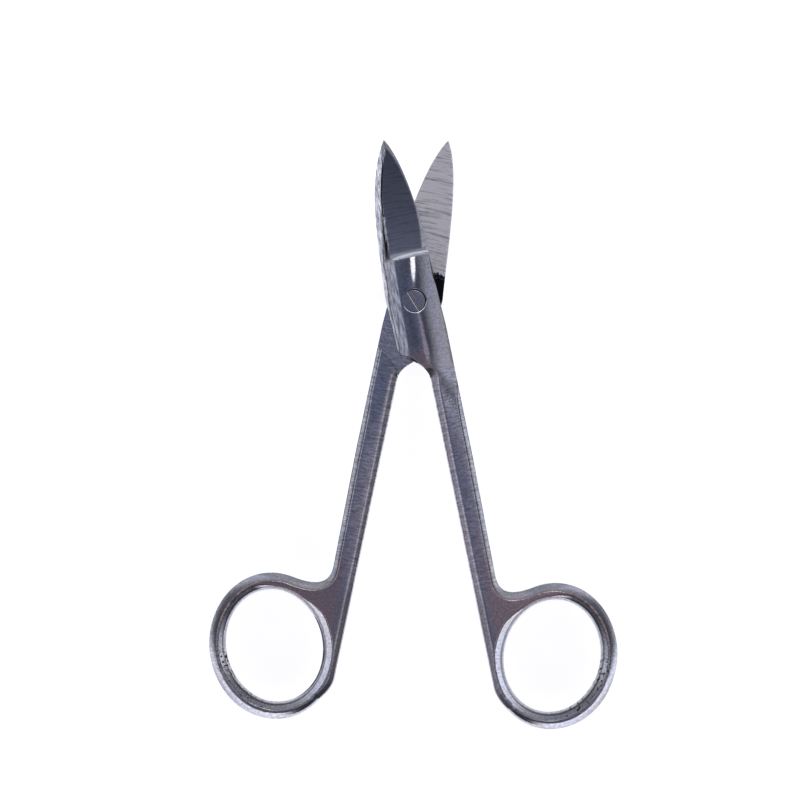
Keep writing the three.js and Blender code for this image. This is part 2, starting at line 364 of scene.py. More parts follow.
def ease(value, start, end):
    """0 at start, 1 at end, and smooth between them."""
    t = np.clip((value - start) / (end - start), 0, 1)
    return t * t * (3 - 2 * t)


def turn_about(centre, x, y):
    """Degrees from +x round a centre, 0 to 360."""
    return np.degrees(np.arctan2(y - centre[1], x - centre[0])) % 360


def crown(half, x, y):
    """Polished crown of the joint, flowing down into the slighter crown of the shank."""
    joint = ease(y, *JOINT_CLIMB_Y)
    forward = np.clip(y - CROWN_BENDS_Y, 0, SHOULDER_Y)
    shank = 1 - ease(y, *CROWNS_MEET_Y)
    middle = CROWN_X + CROWN_LEAN * forward + (SHANK_CROWN_X - CROWN_X) * shank
    joint_radius = np.where(x < middle, CROWN_LEFT_RADIUS, CROWN_RADIUS)
    radius = joint_radius + (SHANK_CROWN_RADIUS - joint_radius) * shank
    top = SHANK_HALF + (PLATE_OUTER - SHANK_HALF) * joint
    crowned = ease(y - half["ring"][1], *RING_FLAT)
    off_middle = np.clip(x - middle, -CROWN_REACH, CROWN_REACH)
    return top - crowned * off_middle**2 / (2 * radius) - forward**2 / (2 * CROWN_LENGTH_RADIUS)


def ridge_x(y):
    """Where the crown ends on its left."""
    return RIDGE_X + RIDGE_LEAN * y


def left_facet(half, x, y):
    """Flat facet between that ridge and the joint's edge."""
    run_out = LEFT_FACET_RUN_OUT * np.maximum(y - SHOULDER_Y, 0)
    return crown(half, ridge_x(y), y) + LEFT_FACET_SLOPE * (x - ridge_x(y)) + run_out


def spine_bevel(y, near):
    """Ground strip along the blade's spine, and the chamfer that carries on along the joint."""
    return np.interp(y, SPINE_LOW_Y, SPINE_LOW) + SPINE_SLOPE * near


def strip_width(y):
    """Width of the ground strip along the spine."""
    return np.interp(y, STRIP_WIDTH_Y, STRIP_WIDTH)


def wall_width(y):
    """Width of the sloping wall between that strip and the hollow facet."""
    return np.interp(y, WALL_WIDTH_Y, WALL_WIDTH)


def right_bevel(half, x, y, gap, joint):
    """The outboard side: cutting edge, joint, shank, and the outside of the ring, each a steep
    rim under a wider bevel. The bevel starts narrow where the ring leaves the shank."""
    ring_y = half["ring"][1]
    near = np.minimum(np.minimum(gap["outer"], gap["edge"]), gap["ring"])
    turn = turn_about(half["ring"], x, y)
    leaving = (1 - ease(turn, *RING_LEAVES_TURN)) * (y < ring_y)
    low, rise, slope, rim_slope = (
        np.interp(y - ring_y, BEVEL_PLACES, along) * (1 - leaving) + at_start * leaving
        for along, at_start in (BEVEL_LOW, BEVEL_RISE, BEVEL_SLOPE, BEVEL_RIM_SLOPE)
    )
    if joint:
        low = np.where(y > EDGE_LOW_Y[0], np.interp(y, EDGE_LOW_Y, EDGE_LOW), low)
        slope = slope + (JOINT_BEVEL_SLOPE - slope) * ease(y, *JOINT_BEVEL_Y)
    bevel = smooth_min(low + rim_slope * near, low + rise + slope * near, OUTBOARD_BLEND)
    return np.where(y > SHOULDER_Y, low + EDGE_SLOPE * near, bevel)


def inner_bevel(gap):
    """The shank's edge towards the other shank: a steep rim and a soft bevel."""
    rim, bevel = (foot + slope * gap["inner"] for foot, slope in (INNER_RIM, INNER_BEVEL))
    return smooth_min(rim, bevel, RIM_BLEND)


def hole_bevel(half, x, y, gap):
    """Bevel round the finger hole, steepest and widest on the shank's side."""
    turn = turn_about(half["ring"], x, y)
    slope = np.interp(turn, HOLE_TURN, HOLE_SLOPE)
    foot = SHANK_HALF - slope * np.interp(turn, HOLE_TURN, HOLE_WIDTH)
    rim = foot - HOLE_RIM_DROP + HOLE_RIM_SLOPE * gap["hole"]
    return smooth_min(foot + slope * gap["hole"], rim, RIM_BLEND)


def hollow(half, x, y, gap):
    """What grinding leaves of the outer face of the blade: a slightly hollow facet, with a wall
    up to the spine's strip and a fillet up to the shoulder."""
    across = (x - FACET_MIDDLE_X) / FACET_HALF_WIDTH
    facet = FACET_HEIGHT - FACET_FALL_ACROSS * (x - FACET_AT_X) - FACET_HOLLOW * (1 - across**2)
    facet = facet - FACET_FALL_ALONG * (y - SHOULDER_Y)
    facet = facet + FACET_CURVE * np.maximum(FACET_CURVES_Y - y, 0) ** 2
    strip = strip_width(y)
    past = gap["spine"] - strip
    on_slope = np.minimum(past, wall_width(y))
    wall = spine_bevel(y, strip) - WALL_SLOPE * on_slope - WALL_FOOT_SLOPE * (past - on_slope)
    ground = -smooth_min(-np.maximum(facet, THINNEST), -wall, CREASE_BLEND)
    up_fillet = np.maximum(SHOULDER_Y + FILLET - y, 0) / FILLET
    return ground + np.maximum(crown(half, x, y) - ground, FILLET_RISE) * up_fillet**2


def rim_round(near, depth, width):
    """Wear that takes the last of an edge off."""
    return depth * np.clip(1 - near / width, 0, 1) ** 2


def outer_height(half, x, y, gap):
    """The lowest of the faces that the outer side is ground and forged to."""
    height = crown(half, x, y)
    height = smooth_min(height, left_facet(half, x, y), CREASE_BLEND)
    height = smooth_min(height, spine_bevel(y, np.minimum(gap["spine"], gap["plate"])), SPINE_BLEND)
    height = smooth_min(height, right_bevel(half, x, y, gap, True), OUTBOARD_BLEND)
    height = smooth_min(height, inner_bevel(gap), INNER_BLEND)
    height = smooth_min(height, hole_bevel(half, x, y, gap), HOLE_BLEND)
    height = smooth_min(height, hollow(half, x, y, gap), CREASE_BLEND)
    from_bore = np.hypot(x - half["bore_centre"][0], y - half["bore_centre"][1]) - half["bore"]
    return height - rim_round(from_bore, *BORE_WEAR)


def inner_height(half, x, y, gap):
    """The flat inner face of blade and joint, and beyond the step the shank's other side."""
    shank = crown(half, x, np.minimum(y, JOINT_CLIMB_Y[0]))
    shank = smooth_min(shank, right_bevel(half, x, y, gap, False), OUTBOARD_BLEND)
    shank = smooth_min(shank, inner_bevel(gap), INNER_BLEND)
    shank = smooth_min(shank, hole_bevel(half, x, y, gap), HOLE_BLEND)
    to_edge = np.minimum(gap["spine"], gap["edge"])
    face = PLATE_INNER + RIM_SLOPE * np.maximum(RIM_WIDTH - to_edge, 0)
    return face - (shank + face) * np.clip(gap["step"] / STEP_WIDTH, 0, 1)


# ---------- meshes ----------

def circle(radius, count):
    """Clockwise, as the outline of a hole."""
    angle = -2 * math.pi * np.arange(count) / count
    return radius * np.column_stack([np.cos(angle), np.sin(angle)])


def hexagons(low, high, spacing):
    """Evenly spread points in the box between two corners, every second row shifted by half."""
    rows = np.arange(low[1], high[1], spacing * math.sqrt(0.75))
    columns = np.arange(low[0], high[0], spacing)
    x, y = np.meshgrid(columns, rows)
    x[1::2] += spacing / 2
    return np.column_stack([x.ravel(), y.ravel()])


def triangulate(loops, rows, spacing):
    """Points and triangles that fill the first loop, without the others. The loops' own points
    come first. Rows are extra points where the surface turns sharply."""
    edge = np.vstack(loops)
    low, high = edge.min(axis=0), edge.max(axis=0)
    grid = hexagons(low, high, spacing)
    grid = grid[inside(grid, loops)]
    inner = np.vstack(rows + [grid[distance(grid, *rows) > CELL]])
    cells = np.floor(inner / CELL).astype(int)
    inner = inner[np.sort(np.unique(cells, axis=0, return_index=True)[1])]
    inner = inner[inside(inner, loops)]
    rim = [np.vstack([loop, loop[:1]]) for loop in loops]
    clear = np.min([distance(inner, loop) for loop in rim], axis=0)
    points = np.vstack([edge, inner[clear > CELL / 2]])
    edges = []
    first = 0
    for loop in loops:
        turn = np.arange(len(loop))
        edges += [(first + a, first + (a + 1) % len(loop)) for a in turn]
        first += len(loop)
    flat = [Vector(p) for p in points]
    made = delaunay_2d_cdt(flat, [tuple(map(int, e)) for e in edges], [], 1, 1e-6, False)
    assert len(made[0]) == len(points)
    triangles = np.array(made[2])
    a, b, c = (points[triangles[:, k]] for k in range(3))
    turned = np.cross(b - a, c - a) < 0
    triangles[turned] = triangles[turned][:, ::-1]
    return points, triangles[inside((a + b + c) / 3, loops)]


def skin(upper, lower):
    """Triangles between two rings of vertex numbers, facing the right-hand side of the loop."""
    next_upper, next_lower = np.roll(upper, -1), np.roll(lower, -1)
    return np.vstack([
        np.column_stack([upper, lower, next_lower]),
        np.column_stack([upper, next_lower, next_upper]),
    ])


def away(loop):
    """Unit vectors out of the material, along a loop with its material on the left."""
    ahead = np.roll(loop, -1, axis=0) - np.roll(loop, 1, axis=0)
    ahead /= np.hypot(*ahead.T)[:, None]
    return np.column_stack([ahead[:, 1], -ahead[:, 0]])


class Build:
    """Vertices and triangles of one piece as they are made."""

    def __init__(self):
        self.vertices = np.empty((0, 3))
        self.triangles = []

    def add(self, plan_points, heights):
        """Vertices over plan points; returns their numbers."""
        first = len(self.vertices)
        new = np.column_stack([plan_points, np.broadcast_to(heights, len(plan_points))])
        self.vertices = np.vstack([self.vertices, new])
        return np.arange(first, len(self.vertices))

    def rings(self, loop, upper, lower, sections):
        """Skin from one ring to another, through circles of [radius, z] in between."""
        ring = upper
        outward = loop / np.hypot(*loop.T)[:, None]
        for radius, z in sections:
            following = self.add(outward * radius, z)
            self.triangles.append(skin(ring, following))
            ring = following
        if lower is not None:
            self.triangles.append(skin(ring, lower))
        return ring

    def wall(self, loop, upper, lower):
        """Slightly bulging side between the outer and the inner face."""
        top, bottom = self.vertices[upper, 2], self.vertices[lower, 2]
        bulge = np.minimum(WALL_BULGE, (top - bottom) / 4)
        middle = self.add(loop + away(loop) * bulge[:, None], (top + bottom) / 2)
        self.triangles.append(skin(upper, middle))
        self.triangles.append(skin(middle, lower))

    def piece(self, name, masks=None):
        """The Blender object, in metres, with smooth shading and its masks as attributes."""
        mesh = bpy.data.meshes.new(name)
        triangles = np.vstack(self.triangles)
        mesh.from_pydata((self.vertices * MM).tolist(), [], triangles.tolist())
        mesh.polygons.foreach_set("use_smooth", [True] * len(triangles))
        mesh.set_sharp_from_angle(angle=math.radians(SHARP))
        for mask, values in (masks or {}).items():
            spread = np.zeros(len(self.vertices))
            spread[:len(values)] = values
            mesh.attributes.new(mask, "FLOAT", "POINT").data.foreach_set("value", spread)
        made = bpy.data.objects.new(name, mesh)
        bpy.context.scene.collection.objects.link(made)
        return made


def sharp_rows(stretches, loops):
    """Extra points beside the outline, along the ridge, the shoulder, the step and the strip."""
    closed = [np.vstack([loop, loop[:1]]) for loop in loops]
    rows = [offset(loop, gap) for gap in RIM_ROWS for loop in closed]
    rows += [offset(closed[1], gap) for gap in HOLE_ROWS]
    ridge = bezier((ridge_x(RIDGE_FOOT_Y), RIDGE_FOOT_Y), (ridge_x(SHOULDER_Y), SHOULDER_Y))
    shoulder = bezier((SHOULDER_X[0], SHOULDER_Y), (SHOULDER_X[1], SHOULDER_Y))
    for gap in CREASE_ROWS:
        rows += [offset(line, gap) for line in (ridge, shoulder, step_curve())]
    strip = strip_width(stretches["spine"][:, 1])
    rows += [offset(stretches["spine"], strip + past) for past in STRIP_ROWS]
    return rows


def bore_sections(half):
    """Circles of [radius, z] down the screw's hole: a seat for the head, or straight through."""
    if half is REAR:
        return []
    depth, width = SEAT_GROOVE
    return [
        (half["bore"], SEAT - depth),
        (half["bore"] - width, SEAT),
        (SHAFT_CLEAR, SEAT),
        (SHAFT_CLEAR, PLATE_INNER + BORE_CHAMFER),
        (SHAFT_CLEAR + BORE_CHAMFER, PLATE_INNER),
    ]


def forged_half(half, name):
    """One half: outer face, inner side, walls all round, and the screw's hole."""
    stretches = plan(half)
    outline = np.vstack([curve[:-1] for key, curve in stretches.items() if key != "hole"])
    hole = stretches["hole"][:0:-1]
    bore = circle(half["bore"], ROUND_SIDES) + half["bore_centre"]
    loops = [outline, hole, bore]
    points, triangles = triangulate(loops, sharp_rows(stretches, loops), GRID)

    x, y = points.T
    gap = {key: distance(points, curve) for key, curve in stretches.items()}
    step = step_curve()
    beyond = np.sign(np.interp(x, step[:, 0], step[:, 1]) - y)
    gap["step"] = distance(points, step) * beyond
    top = outer_height(half, x, y, gap)
    bottom = np.minimum(inner_height(half, x, y, gap), top - THIN_SKIN)

    build = Build()
    upper = build.add(points, top)
    lower = build.add(points, bottom)
    build.triangles += [triangles, triangles[:, ::-1] + len(points)]
    hole_start = len(outline)
    bore_start = hole_start + len(hole)
    around_hole = slice(hole_start, bore_start)
    around_bore = slice(bore_start, bore_start + len(bore))
    build.wall(outline, upper[:hole_start], lower[:hole_start])
    build.wall(hole, upper[around_hole], lower[around_hole])
    build.rings(bore, upper[around_bore], lower[around_bore], bore_sections(half))
    return build.piece(name, half_masks(half, x, y, gap, top))


def painted_shade_lines(y, gap):
    """Painted shade: dark lines on the outer face and on the inner side, round the finger hole, in
    the corner beside the spine's strip, and along the step, where it darkens the steep step's
    reflection of the floor."""
    round_hole = np.clip(2 - np.abs(gap["hole"] - HOLE_LINE) / LINE_HALF_WIDTH, 0, 1)
    past = gap["spine"] - strip_width(y)
    past_strip, past_shoulder = CORNER_STARTS
    corner = np.clip((wall_width(y) + CORNER_FADE - past) / CORNER_FADE, 0, 1)
    corner = corner * (past > past_strip) * (y > SHOULDER_Y + past_shoulder)
    corner = corner * (y < WALL_WIDTH_Y[-1])
    reach, strength = STEP_LINE
    along_step = strength * ((gap["step"] > -reach) & (gap["step"] < STEP_WIDTH + reach))
    return np.concatenate([np.maximum(round_hole, corner), np.maximum(round_hole, along_step)])


def half_masks(half, x, y, gap, top):
    """Where each kind of finish is, and where shade is painted: on the outer face first, then on the
    inner side.
    """
    none = np.zeros_like(x)
    ring_y = half["ring"][1]
    ground = (np.abs(top - hollow(half, x, y, gap)) < HOLLOW_WITHIN) & (y > SHOULDER_Y)
    polished = ease(x, ridge_x(y), ridge_x(y) + POLISH_FADE) * ease(y, *POLISH_STARTS_Y)
    polished = polished * ~ground * (y < SHOULDER_Y + POLISH_FADE)
    strip = (gap["spine"] < STRIP_REACH) & (y > SHOULDER_Y) & ~ground
    facet = (x < ridge_x(y)) & (y < SHOULDER_Y) & (y > LEFT_FACET_FOOT_Y)
    turn = turn_about(half["ring"], x, y)
    pit_start, pit_end = PIT_TURN
    pitted = (gap["hole"] < PIT_REACH) * ease(turn, *pit_start) * (1 - ease(turn, *pit_end))
    warm_top, warm_foot = WARM_PLACES
    warm = ease(y - ring_y, *warm_top) * ease(y - ring_y, *warm_foot) * ease(x, *WARM_X)
    warm = warm * ease(top - SHANK_HALF, *WARM_HEIGHT)
    ring = 1 - ease(y - ring_y, *RING_FINISH_ENDS)
    return {
        "hollow": np.concatenate([ground, none]),
        "polished": np.concatenate([polished, none]),
        "streaked": np.concatenate([strip | facet, none]),
        "inner": np.concatenate([none, (gap["step"] < 0) & (y > INNER_FINISH_Y)]),
        "pitted": np.tile(pitted, 2),
        "warm": np.tile(warm, 2),
        "ring": np.tile(ring, 2),
        # painted shade: dark lines round the hole, beside the spine's strip and along the step
        "line": painted_shade_lines(y, gap),
    }


def screw_piece():
    """Slotted screw: head with a worn rim, bearing shaft, and an end fixed in the rear half."""
    head = circle(HEAD_RADIUS, ROUND_SIDES)[::-1]
    turn = math.radians(SLOT_ANGLE)
    along = np.array([-math.sin(turn), math.cos(turn)])
    across = np.array([math.cos(turn), math.sin(turn)])
    reach = np.linspace(-HEAD_RADIUS, HEAD_RADIUS, SLOT_POINTS)[:, None] * along
    rows = [reach + side * across for side in SLOT_ACROSS]
    rows += [circle(HEAD_RADIUS - gap, ROUND_SIDES) for gap in HEAD_ROWS]
    points, triangles = triangulate([head], rows, HEAD_GRID)
    radius = np.hypot(*points.T)
    top = HEAD_TOP - rim_round(HEAD_RADIUS - radius, *HEAD_WEAR) - HEAD_CROWN * radius**2
    top = top - np.interp(points @ across, SLOT_ACROSS, SLOT_DEPTHS)

    build = Build()
    upper = build.add(points, top)
    build.triangles.append(triangles)
    end = -PLATE_OUTER
    last = build.rings(head, upper[:len(head)], None, [
        (HEAD_RADIUS, HEAD_UNDER + HEAD_CHAMFER),
        (HEAD_RADIUS - HEAD_CHAMFER, HEAD_UNDER),
        (SHAFT_RADIUS, HEAD_UNDER),
        (SHAFT_RADIUS, SHAFT_END + SHAFT_CHAMFER),
        (SHAFT_RADIUS - SHAFT_CHAMFER, SHAFT_END),
        (THREAD_RADIUS, SHAFT_END),
        *((THREAD_RADIUS - inward, end + up) for inward, up in END_ROUNDING),
        *((radius, end) for radius in END_CIRCLES),
    ])
    centre = build.add(np.zeros((1, 2)), end)[0]
    middle = np.full(ROUND_SIDES, centre)
    build.triangles.append(np.column_stack([last, middle, np.roll(last, -1)]))
    return build.piece("screw_turned")


# ---------- finishes ----------

# Reflectances: satin and polished steel from cold to warm tint, then the rest, three of them painted
# shade
SATIN = (0.70, 0.74, 0.84), (0.80, 0.82, 0.90), (0.84, 0.84, 0.88)
SMOOTH = (0.56, 0.58, 0.65), (0.62, 0.61, 0.65)
HOLLOW_STEEL = (0.68, 0.70, 0.76, 1)
# painted shade: the hollow facet darkens to this towards the tip, where it reflects dark surroundings
HOLLOW_TIP_PAINTED_SHADE = (0.19, 0.21, 0.22, 1)
WARM_STEEL = (0.72, 0.61, 0.61, 1)
CUT_STEEL = (0.99, 0.99, 1.0, 1)
STRIP_STEEL = (0.80, 0.82, 0.86, 1)
MARK = (0.2, 0.21, 0.26, 1)
CUT_MARK = (0.38, 0.41, 0.48, 1)
# painted shade: colour of the dark lines
LINE = (0.07, 0.07, 0.085, 1)
# black of the real pits round the finger hole, and of the painted shade beside the joint
PITS_AND_PAINTED_SHADE = (0.012, 0.013, 0.017, 1)
SCREW = (0.34, 0.36, 0.42), (0.5, 0.51, 0.57)

GRINDING_ARC = 14.0  # per metre: the grinding lines across the blade bend by this times x squared

# Satin first, then the other finishes where they differ from it
SATIN_MARK_STRENGTH = 0.65  # how strongly the marks darken it
MARK_STRENGTH = {"cut": 0.78, "smooth": 0.5, "streaked": 0.9}
SATIN_ROUGHNESS = (0.09, 0.12)  # least, and how much more the specks add
# here scale means the black painted shade beside the joint
ROUGHNESS = {"polished": 0.08, "hollow": 0.05, "streaked": 0.2, "cut": 0.6, "scale": 0.5}
LINE_STRENGTH = 0.85

# Along the blade, in metres; each slope is how fast something sets in, per metre
JOINT_SHADE_TOP = (0.0052, 0.0022)  # end of the black painted shade beside the joint, and how ragged it is
JOINT_SHADE_TOP_SLOPE = 9000
JOINT_SHADE_BOTTOM = -0.0008
JOINT_SHADE_BOTTOM_SLOPE = 900
CHIPS_SLOPE = 1000
# Painted shade: the hollow facet darkens towards the tip, where it reflects dark surroundings
TIP_SHADE_START = 0.01
TIP_SHADE_SLOPE = 50
TIP_SHADE = 0.65


class Nodes:
    """Short ways to add shader nodes to a material or a world."""

    def __init__(self, owner):
        owner.use_nodes = True
        self.tree = owner.node_tree
        self.tree.nodes.clear()

    def new(self, kind, inputs=None, **settings):
        """A node with its inputs (values, or outputs of other nodes) and its settings."""
        node = self.tree.nodes.new("ShaderNode" + kind)
        for key, value in settings.items():
            setattr(node, key, value)
        for key, value in (inputs or {}).items():
            self.put(node.inputs[key], value)
        return node

    def put(self, socket, value):
        """Set a socket, or link it."""
        if isinstance(value, bpy.types.NodeSocket):
            self.tree.links.new(value, socket)
        else:
            socket.default_value = value

    def math(self, operation, a, b=0.0, clamp=False):
        """Result of a sum on two numbers, kept within 0 to 1 if asked."""
        inputs = {0: a, 1: b}
        return self.new("Math", inputs, operation=operation, use_clamp=clamp).outputs[0]

    def ramp(self, value, *stops):
        """Colour ramp over (position, colour) stops; a colour may be one grey level."""
        node = self.new("ValToRGB", {"Fac": value})
        steps = node.color_ramp.elements
        while len(steps) < len(stops):
            steps.new(1)
        for step, (position, colour) in zip(steps, stops):
            step.position = position
            step.color = (*colour, 1) if isinstance(colour, tuple) else (colour,) * 3 + (1,)
        return node.outputs["Color"]

    def mix(self, factor, a, b, kind="FLOAT", **settings):
        """a where the factor is 0, b where it is 1."""
        node = self.new("Mix", data_type=kind, **settings)
        sockets = {"FLOAT": (2, 3, 0), "RGBA": (6, 7, 2)}[kind]
        self.put(node.inputs[0], factor)
        self.put(node.inputs[sockets[0]], a)
        self.put(node.inputs[sockets[1]], b)
        return node.outputs[sockets[2]]

    def times(self, *factors):
        """The product of several numbers."""
        product = factors[0]
        for factor in factors[1:]:
            product = self.math("MULTIPLY", product, factor)
        return product

    def without(self, value):
        """1 - value."""
        return self.math("SUBTRACT", 1.0, value)

    def mask(self, name):
        """One of the masks that half_masks makes."""
        return self.new("Attribute", attribute_name=name).outputs["Fac"]

    def noise(self, place, sizes, detail=3.0, rough=0.6, warp=0.0):
        """Noise with its own feature size in mm along x, y and z."""
        scale = tuple(1 / (size * MM) for size in sizes)
        stretched = self.new("Mapping", {"Vector": place, "Scale": scale}).outputs[0]
        inputs = {"Vector": stretched, "Scale": 1.0, "Detail": detail, "Roughness": rough,
                  "Distortion": warp}
        return self.new("TexNoise", inputs).outputs["Fac"]

    def metal(self, colour, roughness, height):
        """Bare metal with a relief whose height is in mm."""
        bump = self.new("Bump", {"Height": height, "Strength": 1.0, "Distance": MM}).outputs[0]
        shader = self.new("BsdfPrincipled", {
            "Base Color": colour, "Metallic": 1.0, "Roughness": roughness, "Normal": bump,
        })
        self.new("OutputMaterial", {"Surface": shader.outputs[0]})


def tool_marks(n, own, place, seed):
    """The patterns that grinding, forging and handling leave on a half."""
    x, y = (n.new("SeparateXYZ", {0: own}).outputs[k] for k in (0, 1))
    arc = n.times(x, x, GRINDING_ARC)
    bent = n.new("CombineXYZ", {0: x, 1: n.math("ADD", y, arc), 2: seed}).outputs[0]
    return {
        "grain": n.noise(place, (1.6, 0.42, 1.6), 4, 0.75),
        "speck": n.noise(place, (0.5, 0.4, 0.5), 4, 0.7),
        "wave": n.noise(place, (5, 7, 5), 2),
        "tint": n.noise(place, (9, 14, 9), 2),
        "streak": n.noise(place, (0.4, 3.0, 0.4), 4, 0.7),
        "scratch": n.noise(bent, (7, 0.4, 7), 5, 0.75),
        "deep": n.ramp(n.noise(bent, (5, 0.4, 5), 2), (0.60, 0.0), (0.70, 1.0)),
    }


def painted_joint_shade(n, place, y, inner):
    """Painted shade: black on the inner face beside the joint, where the other half shades it, with a
    ragged upper end and a chip just below it, and the ground part of that face above it."""
    top, raggedness = JOINT_SHADE_TOP
    end = n.math("ADD", top, n.times(n.noise(place, (0.8, 3, 3), 3, 0.7), raggedness))
    depth = n.math("SUBTRACT", end, y)
    below = n.math("MULTIPLY", depth, JOINT_SHADE_TOP_SLOPE, True)
    near_end = n.without(n.math("MULTIPLY", depth, CHIPS_SLOPE, True))
    chip = n.ramp(n.noise(place, (0.7, 0.4, 0.7), 2), (0.52, 0.0), (0.58, 1.0))
    above_foot = n.math("MULTIPLY", n.math("SUBTRACT", y, JOINT_SHADE_BOTTOM), JOINT_SHADE_BOTTOM_SLOPE, True)
    scale = n.times(below, inner, n.without(n.times(chip, near_end)), above_foot)
    return scale, n.times(inner, n.without(below))


def steel_colour(n, on, marks, to_tip_painted_shade):
    """Bare steel in the tint of each finish, darkened by its own marks, with shade painted on: on the
    hollow towards the tip, along the dark lines, and black beside the joint, the same black as the
    pits.
    """
    bare = n.ramp(marks["tint"], (0.36, SATIN[0]), (0.5, SATIN[1]), (0.64, SATIN[2]))
    smooth = n.ramp(marks["tint"], (0.36, SMOOTH[0]), (0.64, SMOOTH[1]))
    bare = n.mix(on["smooth"], bare, smooth, "RGBA")
    bare = n.mix(on["hollow"], bare, HOLLOW_STEEL, "RGBA")
    # painted shade: the hollow facet darker towards the tip
    bare = n.mix(n.times(to_tip_painted_shade, on["hollow"], TIP_SHADE), bare, HOLLOW_TIP_PAINTED_SHADE, "RGBA")
    bare = n.mix(on["warm"], bare, WARM_STEEL, "RGBA")
    bare = n.mix(on["cut"], bare, CUT_STEEL, "RGBA")
    bare = n.mix(on["streaked"], bare, STRIP_STEEL, "RGBA")

    grain, speck = (n.ramp(marks[key], (0.38, 0.0), (0.62, 1.0)) for key in ("grain", "speck"))
    dark = n.mix(on["smooth"], grain, speck)
    cuts = n.ramp(marks["scratch"], (0.5, 0.0), (0.62, 1.0))
    dark = n.mix(n.math("MAXIMUM", on["cut"], on["hollow"]), dark, cuts)
    dark = n.mix(on["streaked"], dark, n.ramp(marks["streak"], (0.38, 0.0), (0.62, 1.0)))
    strength = SATIN_MARK_STRENGTH
    for finish, level in MARK_STRENGTH.items():
        strength = n.mix(on[finish], strength, level)
    mark_colour = n.mix(on["cut"], MARK, CUT_MARK, "RGBA")
    worn = n.mix(n.times(dark, strength), bare, mark_colour, "RGBA")
    worn = n.mix(n.times(marks["deep"], on["cut"]), worn, CUT_STEEL, "RGBA")
    # painted shade: the dark lines
    worn = n.mix(n.times(on["line"], LINE_STRENGTH), worn, LINE, "RGBA")
    # black: real pits, and painted shade beside the joint
    return n.mix(n.math("MAXIMUM", on["scale"], on["pit"]), worn, PITS_AND_PAINTED_SHADE, "RGBA")


def steel_roughness(n, on, marks):
    """Roughness of each finish."""
    least, more = SATIN_ROUGHNESS
    rough = n.math("ADD", least, n.times(marks["speck"], more))
    for finish, roughness in ROUGHNESS.items():
        rough = n.mix(on[finish], rough, roughness)
    return rough


def steel_relief(n, on, marks):
    """Height in mm of the marks of each finish, on a slight waviness."""
    fine = n.math("ADD", n.times(marks["grain"], 0.009), n.times(marks["speck"], 0.012))
    ground = n.math("ADD", n.times(marks["scratch"], 0.12), n.times(marks["deep"], 0.02))
    fine = n.mix(on["polished"], fine, n.times(marks["speck"], 0.002))
    fine = n.mix(on["hollow"], fine, n.times(marks["scratch"], 0.005))
    fine = n.mix(on["streaked"], fine, n.times(marks["streak"], 0.02))
    fine = n.mix(on["cut"], fine, ground)
    height = n.math("ADD", fine, n.times(marks["wave"], 0.02))
    return n.math("SUBTRACT", height, n.times(on["pit"], 0.03))


def steel_half(name, seed):
    """Satin forged steel: transverse grain on shank and ring, a polished crown at the joint, ground
    streaks on the spine strip, cross lines in the hollow, and a ground inner face that ends in
    black painted shade above the joint; shade is painted too on the hollow's tip and along dark
    lines. The seed shifts the patterns, so that the halves differ."""
    material = bpy.data.materials.new(name)
    n = Nodes(material)
    own = n.new("TexCoord").outputs["Object"]
    y = n.new("SeparateXYZ", {0: own}).outputs[1]
    place = n.new("Mapping", {"Vector": own, "Location": (seed, seed, 0)}).outputs[0]
    marks = tool_marks(n, own, place, seed)
    # line is painted shade, not a finish
    finish_and_shade_masks = ("hollow", "polished", "streaked", "warm", "ring", "line")
    on = {key: n.mask(key) for key in finish_and_shade_masks}
    on["smooth"] = n.math("MAXIMUM", n.math("MAXIMUM", on["polished"], on["hollow"]), on["ring"])
    # scale is the black painted shade beside the joint; cut is the ground inner face above it
    on["scale"], on["cut"] = painted_joint_shade(n, place, y, n.mask("inner"))
    pits = n.ramp(n.noise(place, (0.55, 0.5, 0.55), 2), (0.55, 0.0), (0.6, 1.0))
    on["pit"] = n.times(pits, n.mask("pitted"))
    # painted shade: the hollow facet darker towards the tip
    to_tip_painted_shade = n.math("MULTIPLY", n.math("SUBTRACT", y, TIP_SHADE_START), TIP_SHADE_SLOPE, True)
    colour = steel_colour(n, on, marks, to_tip_painted_shade)
    n.metal(colour, steel_roughness(n, on, marks), steel_relief(n, on, marks))
    return material


def steel_screw():
    """Turned steel: fine rings round the axis, a few wear marks."""
    material = bpy.data.materials.new("turned_screw_steel")
    n = Nodes(material)
    own = n.new("TexCoord").outputs["Object"]
    x, y, z = (n.new("SeparateXYZ", {0: own}).outputs[k] for k in range(3))
    radius = n.math("SQRT", n.math("ADD", n.times(x, x), n.times(y, y)))
    rings = n.new("CombineXYZ", {0: radius, 1: z, 2: 0.0}).outputs[0]
    turned = n.noise(rings, (0.07, 0.07, 1), 2)
    speck = n.noise(own, (0.3, 0.3, 0.3), 4)
    colour = n.ramp(speck, (0.35, SCREW[0]), (0.65, SCREW[1]))
    height = n.math("ADD", n.times(turned, 0.001), n.times(speck, 0.002))
    n.metal(colour, n.math("ADD", 0.1, n.times(speck, 0.1)), height)
    return material


# ---------- studio ----------

